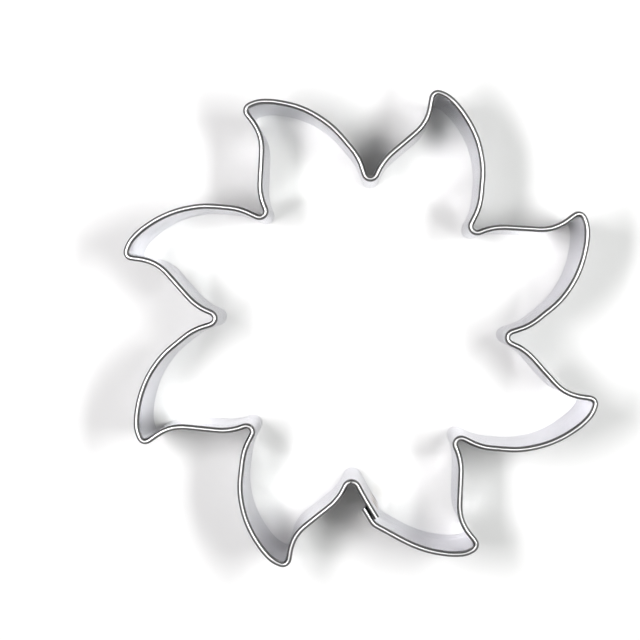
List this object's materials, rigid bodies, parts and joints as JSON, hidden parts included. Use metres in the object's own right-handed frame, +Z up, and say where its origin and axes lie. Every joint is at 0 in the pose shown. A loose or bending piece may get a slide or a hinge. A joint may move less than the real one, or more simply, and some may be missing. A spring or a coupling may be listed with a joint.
{
  "type": "cookie cutter",
  "caption": "Sun-shaped cookie cutter: a strip of thin steel bent into swirling rays, with a round folded rim, a plain cutting edge and a lapped, spot-welded seam.",
  "frame": {"origin": "under the middle of the outline's box, at the height of the cutting edge", "axes": "+Z up, from the cutting edge to the folded rim; +X to the right and +Y up the picture when the cutter is seen from above with the seam's ray at the lower right"},
  "size_m": [0.1014, 0.102, 0.025],
  "materials": {
    "sheet": "bright rolled stainless sheet",
    "weld": "heat-tinted spot weld mark"
  },
  "bodies": {
    "root": {"formed_strip": "sheet", "spot_weld_lower": "weld", "spot_weld_middle": "weld", "spot_weld_upper": "weld"}
  },
  "joints": []
}
